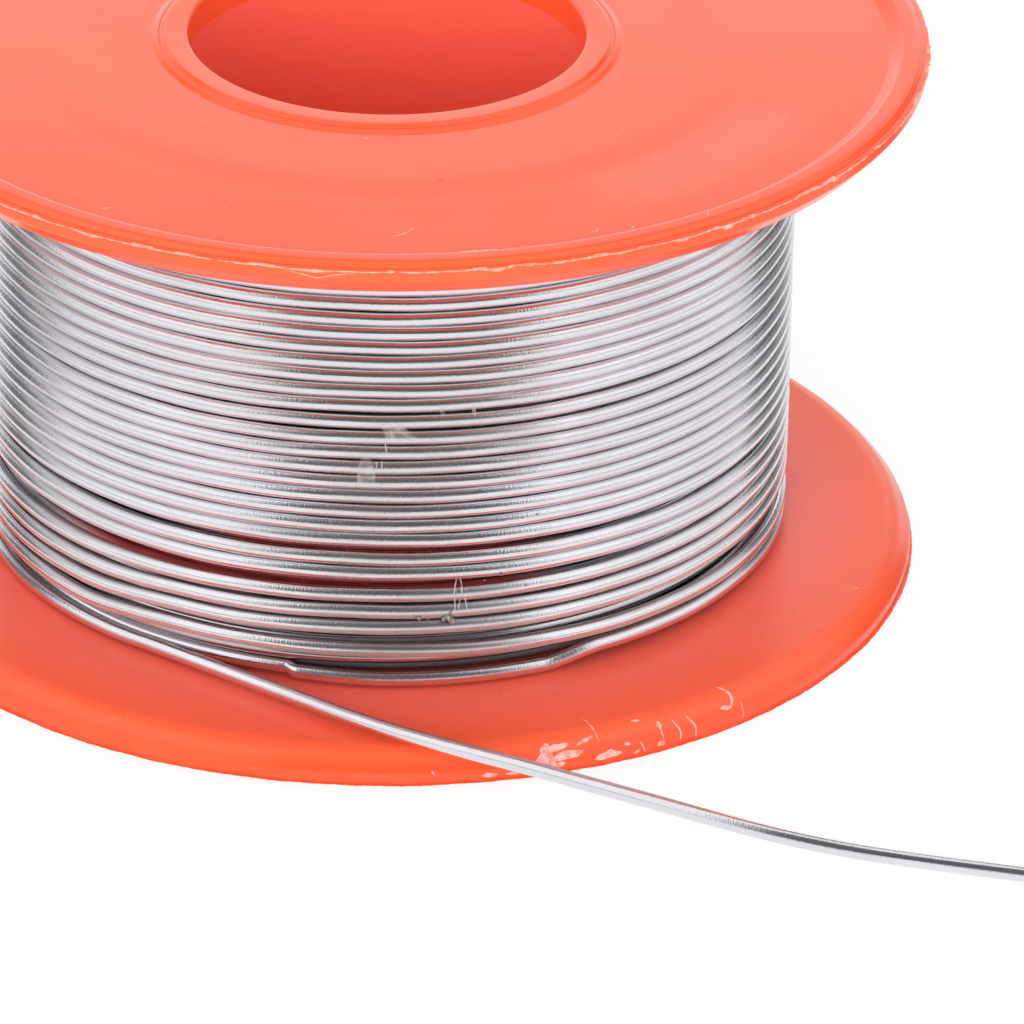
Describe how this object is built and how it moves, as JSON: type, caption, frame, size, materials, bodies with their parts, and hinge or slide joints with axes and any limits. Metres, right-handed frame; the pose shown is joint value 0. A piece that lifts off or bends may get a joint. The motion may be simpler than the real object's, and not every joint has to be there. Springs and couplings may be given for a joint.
{
  "type": "solder wire spool",
  "caption": "Plastic reel with two round flanges and an open hub bore, wound with bright solder wire whose free end leads off over the lower flange.",
  "frame": {"origin": "centre of the reel's bore, on the flat surface that the reel stands on", "axes": "+Z along the bore, from the flange it stands on to the upper flange; -Y is the side that the picture shows, with the free lead running out towards +X"},
  "size_m": [0.0714, 0.0743, 0.0332],
  "materials": {
    "reel_plastic": "satin moulded plastic, orange red, slightly translucent at the rims",
    "solder": "bright drawn tin alloy wire"
  },
  "bodies": {
    "root": {"upper_reel_half": "reel_plastic", "lower_reel_half": "reel_plastic", "inner_winding": "solder", "outer_winding": "solder", "solder_lead": "solder"}
  },
  "joints": []
}
